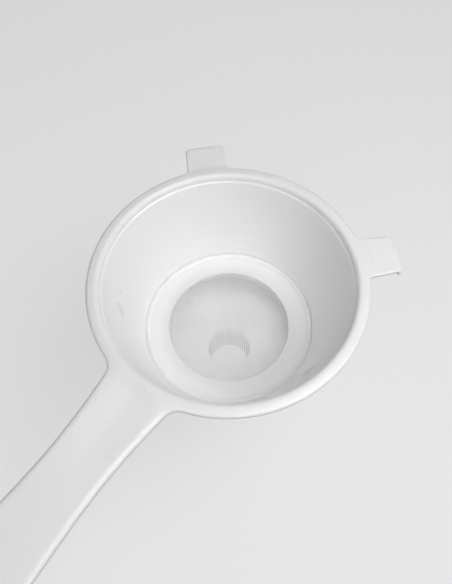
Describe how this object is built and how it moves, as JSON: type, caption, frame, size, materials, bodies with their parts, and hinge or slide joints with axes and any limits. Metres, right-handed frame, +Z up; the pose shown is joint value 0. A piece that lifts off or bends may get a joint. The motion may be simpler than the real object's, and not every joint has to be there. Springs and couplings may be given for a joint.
{
  "type": "double sieve strainer",
  "caption": "White plastic honey strainer: conical bowl with flat handle and rim lugs, lift-out coarse sieve, and a push-on lower funnel that holds a fine sieve.",
  "frame": {"origin": "on the bowl's axis, in the plane of the lugs' undersides, which rest on the vessel's rim", "axes": "+Z up along the bowl's axis, out of its mouth; +X along the handle, away from the bowl"},
  "size_m": [0.297, 0.15, 0.1153],
  "materials": {
    "bowl_white": "glossy moulded polypropylene",
    "ring_white": "satin moulded polypropylene",
    "funnel_white": "glossy moulded polypropylene",
    "coarse_nylon": "woven nylon monofilament",
    "fine_nylon": "woven nylon monofilament"
  },
  "bodies": {
    "bowl": {"strainer_bowl": "bowl_white"},
    "coarse_sieve": {"coarse_sieve_ring": "ring_white", "coarse_mesh": "coarse_nylon", "coarse_clamp_ring": "ring_white"},
    "funnel": {"lower_funnel": "funnel_white"},
    "fine_sieve": {"fine_sieve_ring": "ring_white", "fine_mesh": "fine_nylon", "fine_clamp_ring": "ring_white"}
  },
  "joints": [
    {"name": "coarse_sieve_lift", "type": "slide", "parent": "bowl", "child": "coarse_sieve", "axis": [0, 0, 1], "range_m": [0, 0.09]},
    {"name": "lower_funnel_pull", "type": "slide", "parent": "bowl", "child": "funnel", "axis": [0, 0, -1], "range_m": [0, 0.07]},
    {"name": "fine_sieve_lift", "type": "slide", "parent": "funnel", "child": "fine_sieve", "axis": [0, 0, 1], "range_m": [0, 0.035]}
  ],
  "couplings": [
    {"joint": "fine_sieve_lift", "follows": "lower_funnel_pull", "ratio": 0.5}
  ]
}
